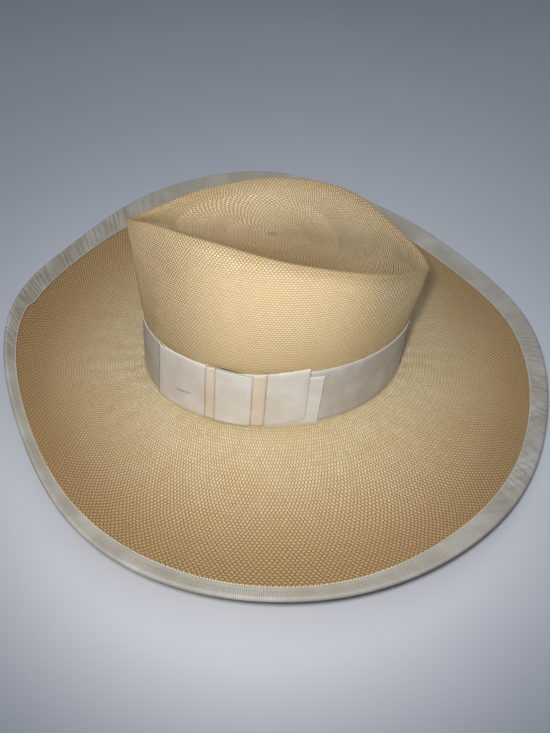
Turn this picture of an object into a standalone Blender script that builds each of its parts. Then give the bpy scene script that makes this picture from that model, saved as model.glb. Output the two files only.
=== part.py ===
"""Wide brim straw hat with a teardrop crown, a ribbon band, a flat bow and a bound edge.

Metres, +Z up. The origin lies on the surface the hat rests on, under the middle of the brim.
The pinched front of the hat points to -Y and the bow, on the wearer's left, to +X.
Sizes below are millimetres. An angle is counted from the front towards the wearer's left.
"""
from collections import namedtuple
from math import cos, floor, pi, radians, sin

import bmesh
import bpy
from mathutils import Vector

# Units and fineness of the meshes
MM = 0.001
COLUMNS = 64
CROWDING = 0.3              # columns stand closer together at the pinch than at the back
DISH_RINGS = (0.2, 0.4, 0.58, 0.74, 0.88, 1.0)
WALL_RINGS = (0.0, 0.1, 0.22, 0.38, 0.55, 0.72, 0.87)
BRIM_RINGS = (0.0, 0.2, 0.36, 0.5, 0.62, 0.73, 0.83, 0.92, 1.0)
SMOOTH_ANGLE = radians(50)

# Straw
WALL = 1.6
STRAW_COLOR = (0.56, 0.40, 0.20, 1.0)
STRAW_ROUGHNESS = 0.62

# Foot of the crown: an oval that narrows slightly from the brim to the band's top edge
Oval = namedtuple("Oval", "height half_length half_width shift")
FOOT = Oval(3.4, 103.7, 78.2, -7.6)
BAND_LINE = Oval(54.0, 100.6, 73.6, -4.6)

# Upper edge of the crown, one half; the far half mirrors it. across: distance from the middle plane
Rim = namedtuple("Rim", "angle across height")
RIM = (
    Rim(0, 0.0, 127.0),
    Rim(30, 8.0, 129.0),
    Rim(60, 31.5, 131.0),
    Rim(90, 51.0, 127.0),
    Rim(120, 49.0, 116.5),
    Rim(150, 21.5, 96.5),
    Rim(180, 0.0, 87.0),
)
RIM_HALF_LENGTH = 102.5
RIM_SHIFT = -0.5
LIP_IN = 2.6                # the rolled edge: how far its inner lip and its shoulder
LIP_DROP = 1.6              # lie inside, outside and below its crest
SHOULDER_OUT = 2.0
SHOULDER_DROP = 2.2

# Dished top: its lowest line falls from the front to the back, its sides rise to the lip
DISH_MIDDLE = -5.0
FLOOR_FRONT = 117.0
FLOOR_BACK = 80.0
FLOOR_BEND = 3.0            # the floor falls as this power of the way to the back
DISH_CURL = 2.8             # the sides rise as this power of the way to the lip
SIDE_BULGE = 2.0            # roundness of the walls between the edge and the band
BACK_BULGE = 2.0
WALL_EASE = 1.6

# Break between crown and brim, and the ring on which the hat rests
BREAK = ((0.5, 2.2), (1.8, WALL))          # out from the foot, height of the upper face
RING_INNER = 5.0
RING_OUTER = 9.5

# Brim: reach of the finished edge, its height over the resting ring, width of the binding
Brim = namedtuple("Brim", "angle reach lift binding")
BRIM = (
    Brim(0, 206.0, 46.0, 6.0),
    Brim(30, 203.5, 28.5, 5.0),
    Brim(60, 213.5, 29.0, 9.0),
    Brim(90, 212.5, 27.5, 7.5),
    Brim(120, 208.0, 19.5, 9.5),
    Brim(150, 206.0, 8.0, 10.5),
    Brim(180, 206.5, 14.0, 12.5),
    Brim(210, 205.0, 12.5, 16.0),
    Brim(240, 208.0, 23.5, 16.0),
    Brim(270, 212.0, 42.5, 14.0),
    Brim(300, 211.5, 43.0, 12.0),
    Brim(330, 207.5, 37.0, 9.0),
)
BRIM_CURL = 2.8             # the brim rises as this power of the way out

# Ribbons
GAP = 0.3
BINDING_RIBBON = 23.0       # width of the ribbon folded over the edge, above and below together
BINDING_THICKNESS = 1.0
BINDING_GAP = 0.4
BINDING_COLOR = (0.52, 0.49, 0.41, 1.0)
BAND_THICKNESS = 0.8
BAND_BOTTOM = 3.6
BAND_WIDTH = 50.0
RIBBON = 0.5                # thickness of the bow's ribbon
RIBBON_COLOR = (0.63, 0.59, 0.53, 1.0)
AGED_COLOR = (0.57, 0.48, 0.35, 1.0)
RIBBON_ROUGHNESS = 0.75

# Bow: angles of its cuts and folds, with the height of its lower and upper edge there
Edge = namedtuple("Edge", "angle bottom top")
TAIL = (Edge(74, 4.2, 51.0), Edge(90, 4.0, 51.5), Edge(105.5, 3.8, 52.0))
LOOP_FRONT = (Edge(34.5, 4.4, 54.4), Edge(48, 4.6, 54.2), Edge(60, 4.6, 53.8), Edge(70, 4.6, 53.6))
LOOP_BACK = (
    Edge(71, 4.6, 53.8),
    Edge(84, 4.8, 54.6),
    Edge(91.5, 7.0, 56.0),
    Edge(96, 9.0, 57.0),
    Edge(99, 13.0, 57.4),
    Edge(100, 17.0, 57.4),
)
WRAP = (Edge(59.4, 4.2, 54.8), Edge(71, 4.2, 54.4), Edge(84, 4.2, 55.4))
KNOT = (Edge(63.6, 4.0, 56.6), Edge(71, 4.0, 56.2), Edge(78.8, 4.0, 55.8))
WRAP_TURN = 0.7             # the wraps rise and turn in by this much above the band's upper edge
WRAP_TUCK = 0.9             # and end this far from the straw


def clear_scene():
    """Start from an empty scene."""
    for item in list(bpy.data.objects):
        bpy.data.objects.remove(item, do_unlink=True)


def finish(name, color, roughness):
    """Plain material of one sub-part."""
    material = bpy.data.materials.new(name)
    material.use_nodes = True
    shader = material.node_tree.nodes["Principled BSDF"]
    shader.inputs["Base Color"].default_value = color
    shader.inputs["Roughness"].default_value = roughness
    shader.inputs["Metallic"].default_value = 0.0
    material.diffuse_color = color
    return material


def add_piece(name, bm, material):
    """Turn a bmesh in millimetres into a smooth-shaded object in metres."""
    bmesh.ops.scale(bm, vec=(MM, MM, MM), verts=bm.verts)
    mesh = bpy.data.meshes.new(name)
    bm.to_mesh(mesh)
    bm.free()
    mesh.materials.append(material)
    mesh.shade_smooth()
    mesh.set_sharp_from_angle(angle=SMOOTH_ANGLE)
    piece = bpy.data.objects.new(name, mesh)
    bpy.context.scene.collection.objects.link(piece)
    return piece


def thicken(piece, thickness, offset):
    """Give a sheet its wall; offset -1 keeps the sheet as the outer face, 0 as the middle."""
    wall = piece.modifiers.new("wall", "SOLIDIFY")
    wall.thickness = thickness * MM
    wall.offset = offset
    wall.use_even_offset = True
    wall.use_rim = True


def loft(rings, closed_rings=True, closed_path=False):
    """Quads between successive rings of points; returns the bmesh and its rings of vertices."""
    bm = bmesh.new()
    loops = [[bm.verts.new(point) for point in ring] for ring in rings]
    pairs = list(zip(loops, loops[1:]))
    if closed_path:
        pairs.append((loops[-1], loops[0]))
    for inner, outer in pairs:
        count = len(inner)
        for j in range(count if closed_rings else count - 1):
            k = (j + 1) % count
            bm.faces.new((inner[j], outer[j], outer[k], inner[k]))
    return bm, loops


def smooth_between(before, start, end, after, f):
    """Smooth curve through four values, read at fraction f between the middle two."""
    slope = (end - before) * f
    bend = (2 * before - 5 * start + 4 * end - after) * f**2
    twist = (3 * start - before - 3 * end + after) * f**3
    return 0.5 * (2 * start + slope + bend + twist)


def around(table, column, angle):
    """A table's column at any angle: a closed smooth curve through its evenly spaced rows."""
    count = len(table)
    place = angle / (2 * pi) * count
    index = floor(place)
    values = [getattr(table[(index + k) % count], column) for k in (-1, 0, 1, 2)]
    return smooth_between(*values, place - index)


def along(edges, column, angle):
    """A bow table's column at an angle, straight between its rows."""
    degrees_now = angle * 180 / pi
    for first, second in zip(edges, edges[1:]):
        if degrees_now <= second.angle or second is edges[-1]:
            f = (degrees_now - first.angle) / (second.angle - first.angle)
            return getattr(first, column) * (1 - f) + getattr(second, column) * f
    return getattr(edges[-1], column)


RIM_ROUND = RIM + tuple(row._replace(across=-row.across) for row in RIM[-2:0:-1])


def column_angles():
    """Angles of the mesh's columns, crowded towards the front."""
    steps = (2 * pi * i / COLUMNS for i in range(COLUMNS))
    return [step - CROWDING * sin(step) for step in steps]


def foot_point(angle, height, out=0.0):
    """Point at a height on the straight foot of the crown, or out millimetres off it."""
    f = (height - FOOT.height) / (BAND_LINE.height - FOOT.height)
    half_length = FOOT.half_length + (BAND_LINE.half_length - FOOT.half_length) * f + out
    half_width = FOOT.half_width + (BAND_LINE.half_width - FOOT.half_width) * f + out
    shift = FOOT.shift + (BAND_LINE.shift - FOOT.shift) * f
    return Vector((half_width * sin(angle), shift - half_length * cos(angle), height))


def facing(angle):
    """Level direction that the foot of the crown faces at an angle."""
    return Vector((FOOT.half_length * sin(angle), -FOOT.half_width * cos(angle), 0)).normalized()


def rim_point(angle):
    """Crest of the crown's upper edge."""
    across = around(RIM_ROUND, "across", angle)
    height = around(RIM_ROUND, "height", angle)
    return Vector((across, RIM_SHIFT - RIM_HALF_LENGTH * cos(angle), height))


def dish_floor(along_hat):
    """Height of the dish's lowest line at a place between the front and the back."""
    way = (along_hat - RIM_SHIFT + RIM_HALF_LENGTH) / (2 * RIM_HALF_LENGTH)
    return FLOOR_FRONT - (FLOOR_FRONT - FLOOR_BACK) * way**FLOOR_BEND


def dish_point(angle, way):
    """Point of the dished top; way runs from 0 at its centre to 1 at the lip."""
    lip = rim_point(angle) - facing(angle) * LIP_IN - Vector((0, 0, LIP_DROP))
    point = Vector((0, DISH_MIDDLE, 0)).lerp(lip, way)
    point.z = dish_floor(point.y) + (lip.z - dish_floor(lip.y)) * way**DISH_CURL
    return point


def wall_point(angle, drop):
    """Point of the crown's wall; drop runs from 0 at the shoulder to 1 at the band's top edge."""
    shoulder = rim_point(angle) + facing(angle) * SHOULDER_OUT - Vector((0, 0, SHOULDER_DROP))
    low = foot_point(angle, BAND_LINE.height)
    lean = 1 - (1 - drop)**WALL_EASE
    point = shoulder.lerp(low, lean)
    bulge = SIDE_BULGE * sin(angle)**4 + BACK_BULGE * max(0.0, -cos(angle))**3
    point += facing(angle) * bulge * sin(pi * drop)
    point.z = shoulder.z + (low.z - shoulder.z) * drop
    return point


def brim_point(angle, way):
    """Upper face of the brim; way runs from 0 at the resting ring to 1 at the straw's cut edge."""
    start = foot_point(angle, FOOT.height, RING_OUTER)
    reach = around(BRIM, "reach", angle) - BINDING_GAP - BINDING_THICKNESS
    edge = Vector((reach * sin(angle), -reach * cos(angle), 0))
    point = start.lerp(edge, way)
    point.z = WALL + around(BRIM, "lift", angle) * way**BRIM_CURL
    return point


def straw_body():
    """Crown and brim woven in one piece: rings from the middle of the dish to the brim's edge."""
    angles = column_angles()
    rings = [[dish_point(a, way) for a in angles] for way in DISH_RINGS]
    rings.append([rim_point(a) for a in angles])
    rings += [[wall_point(a, drop) for a in angles] for drop in WALL_RINGS]
    middle = 0.5 * (BAND_LINE.height + FOOT.height)
    for height in (BAND_LINE.height, middle, FOOT.height):
        rings.append([foot_point(a, height) for a in angles])
    for out, height in BREAK + ((RING_INNER, WALL),):
        ring = [foot_point(a, FOOT.height, out) for a in angles]
        rings.append([Vector((p.x, p.y, height)) for p in ring])
    rings += [[brim_point(a, way) for a in angles] for way in BRIM_RINGS]
    bm, loops = loft(rings)
    centre = bm.verts.new(dish_point(0, 0))
    for j, vertex in enumerate(loops[0]):
        bm.faces.new((centre, vertex, loops[0][(j + 1) % COLUMNS]))
    piece = add_piece("straw_body", bm, finish("straw", STRAW_COLOR, STRAW_ROUGHNESS))
    thicken(piece, WALL, -1)


def brim_frame(angle, inset):
    """Point of the brim's upper face inset from its cut edge, with the face's normal and slope."""
    length = (brim_point(angle, 1) - brim_point(angle, 0)).length
    way = 1 - inset / length
    step = 0.01
    point = brim_point(angle, way)
    outward = (brim_point(angle, way + step) - brim_point(angle, way - step)).normalized()
    sideways = brim_point(angle + step, way) - brim_point(angle - step, way)
    normal = outward.cross(sideways).normalized()
    return point, normal, outward


def binding_section(angle):
    """U section of the folded ribbon, clear of the straw, as a closed loop of points."""
    over_width = around(BRIM, "binding", angle)
    under_width = BINDING_RIBBON - over_width
    near = BINDING_GAP
    far = BINDING_GAP + BINDING_THICKNESS
    over = [brim_frame(angle, inset) for inset in (over_width, over_width / 2, 0)]
    under = [brim_frame(angle, inset) for inset in (0, under_width / 2, under_width)]
    edge, normal, outward = over[-1]
    above = [point + up * far for point, up, _ in over]
    nose = [edge + outward * far - normal * depth for depth in (0, WALL)]
    below = [point - up * (WALL + far) for point, up, _ in under]
    inner_below = [point - up * (WALL + near) for point, up, _ in reversed(under[1:])]
    inner_edge = [edge + outward * near - normal * depth for depth in (WALL + near, -near)]
    inner_above = [point + up * near for point, up, _ in reversed(over[:2])]
    return above + nose + below + inner_below + inner_edge + inner_above


def brim_binding():
    """Ribbon folded over the brim's edge all the way round."""
    bm, _ = loft([binding_section(a) for a in column_angles()], closed_path=True)
    bmesh.ops.recalc_face_normals(bm, faces=bm.faces)
    add_piece("brim_binding", bm, finish("binding_ribbon", BINDING_COLOR, RIBBON_ROUGHNESS))


def hat_band():
    """Ribbon round the foot of the crown."""
    top = BAND_BOTTOM + BAND_WIDTH
    far = GAP + BAND_THICKNESS
    section = ((BAND_BOTTOM, GAP), (top, GAP), (top, far), (BAND_BOTTOM, far))
    rings = [[foot_point(a, height, out) for height, out in section] for a in column_angles()]
    bm, _ = loft(rings, closed_path=True)
    bmesh.ops.recalc_face_normals(bm, faces=bm.faces)
    add_piece("hat_band", bm, finish("band_ribbon", RIBBON_COLOR, RIBBON_ROUGHNESS))


def layer(level):
    """Distance from the straw to the middle of a bow layer; level 0 lies on the band."""
    return GAP + BAND_THICKNESS + GAP + RIBBON / 2 + level * (RIBBON + GAP)


def spread(first, last, count):
    """Angles in radians, evenly spaced between two angles in degrees."""
    return [radians(first + (last - first) * i / (count - 1)) for i in range(count)]


def ribbon(name, path, edges, color):
    """Upright ribbon: a sheet along a path of (angle, distance from the straw), thickened."""
    lower = [foot_point(a, along(edges, "bottom", a), out) for a, out in path]
    upper = [foot_point(a, along(edges, "top", a), out) for a, out in path]
    bm, _ = loft([lower, upper], closed_rings=False)
    piece = add_piece(name, bm, finish(name + "_ribbon", color, RIBBON_ROUGHNESS))
    thicken(piece, RIBBON, 0)


def fold(edges, fold_angle, open_angle, inner, outer, count):
    """Path of a flat loop: in along its inner layer, round the fold and back on its outer layer."""
    turn = (outer - inner) / 2
    towards = 1 if open_angle > fold_angle else -1
    depth = towards * turn / FOOT.half_width
    start = radians(fold_angle) + depth
    layers = spread(start * 180 / pi, open_angle, count)
    slants = (pi / 4, 0, -pi / 4)
    crest = [(start - depth * cos(slant), inner + turn - turn * sin(slant)) for slant in slants]
    return [(a, inner) for a in reversed(layers)] + crest + [(a, outer) for a in layers]


def wrap(name, edges, level, color):
    """Ribbon wrapped upright over the bow, its upper end turned in over the band's edge."""
    angles = spread(edges[0].angle, edges[-1].angle, 5)
    out = layer(level)
    turn_in = ((0.0, out), (WRAP_TURN, out - WRAP_TURN), (WRAP_TURN, WRAP_TUCK))
    rings = [[foot_point(a, along(edges, "bottom", a), out) for a in angles]]
    for rise, distance in turn_in:
        rings.append([foot_point(a, along(edges, "top", a) + rise, distance) for a in angles])
    bm, _ = loft(rings, closed_rings=False)
    piece = add_piece(name, bm, finish(name + "_ribbon", color, RIBBON_ROUGHNESS))
    thicken(piece, RIBBON, 0)


def bow():
    """Tail, two folded loops and the two wraps over their middle, outwards from the band."""
    tail = [(a, layer(0)) for a in spread(TAIL[0].angle, TAIL[-1].angle, 7)]
    ribbon("bow_tail", tail, TAIL, RIBBON_COLOR)
    front = fold(LOOP_FRONT, LOOP_FRONT[0].angle, LOOP_FRONT[-1].angle, layer(0), layer(1), 8)
    ribbon("bow_loop_front", front, LOOP_FRONT, RIBBON_COLOR)
    back = fold(LOOP_BACK, LOOP_BACK[-1].angle, LOOP_BACK[0].angle, layer(1), layer(2), 9)
    ribbon("bow_loop_back", back, LOOP_BACK, RIBBON_COLOR)
    wrap("bow_wrap", WRAP, 3, AGED_COLOR)
    wrap("bow_knot", KNOT, 4, RIBBON_COLOR)


clear_scene()
straw_body()
brim_binding()
hat_band()
bow()
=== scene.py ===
"""The looks of a wide brim straw hat: woven straw, ribbon binding, and a ribbon band with a flat bow.

Lengths are in millimetres until a mesh is made. An angle t runs round the hat from the front, -Y,
towards +X.
"""

import bmesh
import bpy
import numpy as np
from mathutils import Matrix, Vector


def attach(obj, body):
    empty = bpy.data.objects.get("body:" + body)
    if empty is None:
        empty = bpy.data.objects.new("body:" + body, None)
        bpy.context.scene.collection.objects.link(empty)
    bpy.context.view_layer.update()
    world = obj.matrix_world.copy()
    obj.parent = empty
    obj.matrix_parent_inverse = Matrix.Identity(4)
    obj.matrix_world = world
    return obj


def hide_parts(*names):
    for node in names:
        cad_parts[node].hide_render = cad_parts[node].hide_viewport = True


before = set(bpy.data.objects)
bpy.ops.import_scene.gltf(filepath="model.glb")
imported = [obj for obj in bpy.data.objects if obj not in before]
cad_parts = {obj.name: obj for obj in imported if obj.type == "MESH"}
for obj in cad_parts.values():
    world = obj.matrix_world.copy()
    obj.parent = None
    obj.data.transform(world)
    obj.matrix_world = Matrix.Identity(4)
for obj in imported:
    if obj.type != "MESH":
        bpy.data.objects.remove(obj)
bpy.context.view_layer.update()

# The crown: one shell of woven straw, pressed over a block into a teardrop with a sharp pinch at the
# front and a bowl-shaped dish on top. Its rounds of weave start at the middle of the dish, climb over
# the pressed rim and run down the wall as far as the foot behind the hat band.
TURN = 2 * np.pi
WALL = 1.6
FOOT = {"height": 3.4, "half_length": 103.7, "half_width": 78.2, "shift": -7.6}
BAND_LINE = {"height": 54.0, "half_length": 100.6, "half_width": 73.6, "shift": -4.6}
RIM_ACROSS = np.array([0, 8, 31.5, 51, 49, 21.5, 0, -21.5, -49, -51, -31.5, -8])
RIM_HEIGHT = np.array([127, 129, 131, 127, 116.5, 96.5, 87, 96.5, 116.5, 127, 131, 129])
RIM_HALF_LENGTH = 102.5
RIM_SHIFT = -0.5
LIP_IN, LIP_DROP = 2.6, 1.6
SHOULDER_OUT, SHOULDER_DROP = 2.0, 2.2
DISH_MIDDLE, DISH_ASIDE = -9.0, -2.0
DISH_HALF_WIDTH = 48.0
FLOOR_FRONT, FLOOR_BACK, FLOOR_BEND = 115.5, 79.0, 3.0
DISH_CURL = 2.5
SIDE_BULGE, BACK_BULGE = 2.0, 2.0
WALL_EASE = 1.6
CROWN_GRAINS = 272
ROUND_HEIGHT = 1.45
ROUNDS_TO_BAND = 92
ROUNDS_TO_FOOT = 127
CROWN_STEPS = (4, 7, 14, 28)
FINE_RELIEF = 0.13


def stack(*parts):
    """Joins arrays as the x, y and z of points."""
    return np.stack(np.broadcast_arrays(*parts), axis=-1)


def unit(ways):
    """The same directions, with length 1."""
    return ways / np.maximum(np.linalg.norm(ways, axis=-1, keepdims=True), 1e-9)


def shares(count):
    """Even shares of a turn, with one entry more for the way back to the first."""
    return np.arange(count + 1) / count


def around(t, values):
    """A measure at angle t: a smooth closed curve through evenly spaced values, the first at the front."""
    place = np.asarray(t) / TURN * len(values)
    start = np.floor(place)
    f = place - start
    a, b, c, d = (values[(start.astype(int) + k) % len(values)] for k in (-1, 0, 1, 2))
    return 0.5 * (2 * b + (c - a) * f + (2 * a - 5 * b + 4 * c - d) * f**2 + (3 * b - a - 3 * c + d) * f**3)


def oval(t, height, out=0.0):
    """A point of the crown below the band line: ovals that change evenly from the foot to that line."""
    f = (height - FOOT["height"]) / (BAND_LINE["height"] - FOOT["height"])
    a, b, shift = (FOOT[k] + (BAND_LINE[k] - FOOT[k]) * f for k in ("half_length", "half_width", "shift"))
    return stack((b + out) * np.sin(t), shift - (a + out) * np.cos(t), height)


def facing(t):
    """The level direction that the crown faces at angle t, square to the stretched foot oval."""
    return unit(stack(FOOT["half_length"] * np.sin(t), -FOOT["half_width"] * np.cos(t), 0 * t))


def rim(t):
    """The pressed edge between wall and dish: narrow at the front pinch and low at the back."""
    return stack(around(t, RIM_ACROSS), RIM_SHIFT - RIM_HALF_LENGTH * np.cos(t), around(t, RIM_HEIGHT))


def dish_floor(y):
    """Height of the dish's floor, which falls towards the back as a power of the way along the hat."""
    way = np.clip((y - RIM_SHIFT + RIM_HALF_LENGTH) / (2 * RIM_HALF_LENGTH), 0, 1)
    return FLOOR_FRONT - (FLOOR_FRONT - FLOOR_BACK) * way**FLOOR_BEND


def dish(t, way):
    """A point of the dish, from its middle at 0 to the lip at 1: the floor, curling up to the lip.

    Its outline is a plain oval at the middle and turns evenly into the pinched one of the lip."""
    lip = rim(t) - facing(t) * LIP_IN - np.array([0, 0, LIP_DROP])
    across = DISH_HALF_WIDTH * np.sin(t) * (1 - way) + lip[..., 0] * way
    x = DISH_ASIDE + (across - DISH_ASIDE) * way
    y = DISH_MIDDLE + (lip[..., 1] - DISH_MIDDLE) * way
    return stack(x, y, dish_floor(y) + (lip[..., 2] - dish_floor(lip[..., 1])) * way**DISH_CURL)


def wall(t, drop):
    """A point of the crown wall, from the shoulder at 0 to the band line at 1, with a slight swell."""
    shoulder = rim(t) + facing(t) * SHOULDER_OUT - np.array([0, 0, SHOULDER_DROP])
    low = oval(t, BAND_LINE["height"])
    lean = 1 - (1 - drop) ** WALL_EASE
    swell = SIDE_BULGE * np.sin(t) ** 4 + BACK_BULGE * np.maximum(0, -np.cos(t)) ** 3
    point = shoulder + (low - shoulder) * lean[..., None]
    point = point + facing(t) * (swell * np.sin(np.pi * drop))[..., None]
    return stack(point[..., 0], point[..., 1], shoulder[..., 2] + (low[..., 2] - shoulder[..., 2]) * drop)


def soften(paths, passes):
    """Rounds the corners of paths that run along the first axis, by averaging neighbours."""
    paths = paths.copy()
    for _ in range(passes):
        paths[1:-1] = (paths[:-2] + 2 * paths[1:-1] + paths[2:]) / 4
    return paths


def measured(paths):
    """The length run along each path at each of its points."""
    steps = np.linalg.norm(np.diff(paths, axis=0), axis=-1)
    return np.concatenate([np.zeros((1,) + steps.shape[1:]), np.cumsum(steps, axis=0)])


def walk(paths, run):
    """The points at the given lengths along each path: the paths are laid end to end, then read once."""
    lengths = measured(paths)
    span = lengths.max() + 1
    offset = np.arange(paths.shape[1]) * span
    known = (lengths + offset).T.ravel()
    asked = (run + offset).T.ravel()
    found = [np.interp(asked, known, paths[..., k].T.ravel()) for k in range(3)]
    return np.stack(found, axis=-1).reshape(paths.shape[1], run.shape[0], 3).transpose(1, 0, 2)


def normals(grid):
    """The outward directions of a closed-round grid of points, from the differences between neighbours."""
    along = np.roll(grid, -1, axis=1) - np.roll(grid, 1, axis=1)
    return unit(np.cross(np.gradient(grid, axis=0), along))


def read(table, t, place):
    """A table over angle and place, read between its entries: place counts the table's rows."""
    rows, columns = table.shape[:2]
    x = np.mod(t / TURN, 1) * columns
    i, j = np.floor(x).astype(int), np.clip(np.floor(place).astype(int), 0, rows - 2)
    a, b = (x - i)[..., None], (place - j)[..., None]
    i, k = i % columns, (i + 1) % columns
    lower = table[j, i] * (1 - a) + table[j, k] * a
    upper = table[j + 1, i] * (1 - a) + table[j + 1, k] * a
    return lower * (1 - b) + upper * b


def rolled_rim(t, turn):
    """The roll between dish and wall: a half turn over the rim, from the lip at 0 to the shoulder at pi."""
    inner = np.cos(turn) > 0
    out = -np.cos(turn) * np.where(inner, LIP_IN, SHOULDER_OUT)
    drop = (1 - np.sin(turn)) * np.where(inner, LIP_DROP, SHOULDER_DROP)
    return rim(t) + facing(t) * out[..., None] - stack(0, 0, drop)


TABLE_COLUMNS = 1088
DISH_SAMPLES, RIM_SAMPLES, WALL_SAMPLES, FOOT_SAMPLES = 110, 9, 100, 30
SOFTENING = 4
UNDER_BAND = 52
column = np.arange(TABLE_COLUMNS) * TURN / TABLE_COLUMNS
crown_path = np.concatenate([
    dish(column[None], np.linspace(0, 1, DISH_SAMPLES)[:, None]),
    rolled_rim(column[None], np.linspace(0, np.pi, RIM_SAMPLES + 2)[1:-1, None]),
    wall(column[None], np.linspace(0, 1, WALL_SAMPLES)[:, None]),
])
crown_path = soften(crown_path, SOFTENING)
to_band = measured(crown_path)
rim_run = to_band[DISH_SAMPLES + RIM_SAMPLES // 2]
band_run = to_band[-1]
to_foot = oval(column[None], np.linspace(UNDER_BAND, FOOT["height"], FOOT_SAMPLES)[:, None])
crown_path = np.concatenate([crown_path, to_foot])
dish_rounds = ROUNDS_TO_BAND - (band_run - rim_run) / ROUND_HEIGHT
# A table of the weave has two rows for each round.
rounds = np.arange(2 * ROUNDS_TO_FOOT + 1)[:, None] / 2
below_rim = band_run - (ROUNDS_TO_BAND - rounds) * ROUND_HEIGHT
foot_run = measured(crown_path)[-1]
below_band = band_run + (rounds - ROUNDS_TO_BAND) / (ROUNDS_TO_FOOT - ROUNDS_TO_BAND) * (foot_run - band_run)
on_wall = np.where(rounds < ROUNDS_TO_BAND, below_rim, below_band)
run = np.where(rounds < dish_rounds, rounds / dish_rounds * rim_run, on_wall)
crown_table = walk(crown_path, run)
crown_out = normals(crown_table)
crown_out[:2] = (0, 0, 1)


def grain_height(u, v, slant):
    """Relief of the weave at u grains round and v rounds up, 0 in a gap to 1 on a straw's crest.

    Each round leans the other way from the last and is shifted by half a grain."""
    row = np.floor(v)
    f = v - row
    lean = 1 - 2 * np.mod(row, 2)
    across = u + lean * slant * (f - 0.5) + 0.5 * row
    return np.abs(np.sin(np.pi * across)) * (1 - (2 * f - 1) ** 4)


class Cells:
    """Where a surface lies on its flat map: the turn is cut into sectors, laid out as cells in a box."""

    FILLED, MARGIN = 0.985, 0.0075

    def __init__(self, sectors, columns, box, places, marks):
        self.sectors, self.columns, self.places, self.marks = sectors, columns, places, marks
        self.low = np.array(box[:2])
        self.size = (np.array(box[2:]) - self.low) / (columns, -(-sectors // columns))

    def lay(self, share, place):
        """The flat places of faces, from the share of the turn and the place of their corners."""
        sector = np.floor(share.mean(axis=-1, keepdims=True) * self.sectors).clip(0, self.sectors - 1)
        x = np.clip(share * self.sectors - sector, 0, 1) + sector % self.columns
        y = np.interp(place, self.places, self.marks) + sector // self.columns
        inside = np.stack([x, y], axis=-1)
        return self.low + self.size * (inside * self.FILLED + self.MARGIN * np.floor(inside + 1))


class Rings:
    """A closed surface sewn from rings of points, one after the other."""

    def __init__(self):
        self.points, self.out, self.count = [], [], 0
        self.loops, self.corners, self.weave, self.flat = [], [], [], []
        self.first, self.last = None, None

    def ring(self, points, share, place, grains=1, cells=None, out=None):
        """Adds a ring and sews it to the last one.

        share is where each point lies round it, with one entry more for the way back to the first,
        place how far across the surface it lies, grains how many grains a turn has on the strip
        before it, and out the way the surface faces."""
        new = {"start": self.count, "n": len(points), "share": share}
        new["place"] = np.broadcast_to(place, share.shape)
        self.points.append(points)
        self.out.append(out)
        self.count += len(points)
        if self.last is None:
            self.first = new
        else:
            self.sew(self.last, new, grains, cells)
        self.last = new

    def sew(self, a, b, grains, cells):
        """Quads between rings of one size, and triangles between rings of different sizes."""
        i, j = np.arange(a["n"]), np.arange(b["n"])
        if a["n"] == b["n"]:
            faces = [((a, i), (b, i), (b, i + 1), (a, i + 1))]
        else:
            near_b = np.ceil(b["n"] * (i + 1) / a["n"] - 1e-9).astype(int) - 1
            near_a = np.floor(a["n"] * (j + 1) / b["n"] + 1e-9).astype(int)
            faces = [((a, i), (b, near_b), (a, i + 1))] * (a["n"] > 1)
            faces += [((a, near_a), (b, j), (b, j + 1))] * (b["n"] > 1)
        for face in faces:
            share = np.stack([r["share"][k] for r, k in face], axis=-1)
            place = np.stack([r["place"][k] for r, k in face], axis=-1)
            self.loops.append(np.stack([r["start"] + k % r["n"] for r, k in face], axis=-1).ravel())
            self.corners.append(np.full(len(share), share.shape[1]))
            self.weave.append(np.stack([share * grains, place], axis=-1).reshape(-1, 2))
            if cells:
                self.flat.append(cells.lay(share, place).reshape(-1, 2))

    def close(self, place, grains=1, cells=None):
        """Sews the last ring to the first, which then counts as lying at place."""
        again = self.first | {"place": np.broadcast_to(place, self.first["share"].shape)}
        self.sew(self.last, again, grains, cells)

    def cap(self, ring, turned):
        """Closes the end of a tube with one face on a ring."""
        order = np.arange(ring["n"])[::-1] if turned else np.arange(ring["n"])
        self.loops.append(ring["start"] + order)
        self.corners.append(np.array([ring["n"]]))
        self.weave.append(np.stack([ring["share"][order], ring["place"][order]], axis=-1))

    def next_body(self):
        """Starts another closed body in the same piece."""
        self.last = None

    def mesh(self, name, finish):
        """The object, in metres, with its pattern map Weave and, where it has cells, its flat map OFBake."""
        made = bpy.data.meshes.new(name)
        corners, loops = np.concatenate(self.corners), np.concatenate(self.loops)
        made.vertices.add(self.count)
        made.vertices.foreach_set("co", (np.concatenate(self.points) / 1000).ravel())
        made.loops.add(len(loops))
        made.loops.foreach_set("vertex_index", loops)
        made.polygons.add(len(corners))
        made.polygons.foreach_set("loop_start", np.concatenate([[0], np.cumsum(corners)[:-1]]))
        for title, places in (("Weave", self.weave), ("OFBake", self.flat)):
            if places:
                made.uv_layers.new(name=title).uv.foreach_set("vector", np.concatenate(places).ravel())
        made.update(calc_edges=True)
        made.validate()
        made.shade_smooth()
        shell = bmesh.new()
        shell.from_mesh(made)
        inside_out = shell.calc_volume(signed=True) < 0
        shell.free()
        if inside_out:
            made.flip_normals()
        if all(out is not None for out in self.out):
            made.normals_split_custom_set_from_vertices(np.concatenate(self.out))
        made.materials.append(finish)
        thing = bpy.data.objects.new(name, made)
        bpy.context.scene.collection.objects.link(thing)
        return thing


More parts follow.
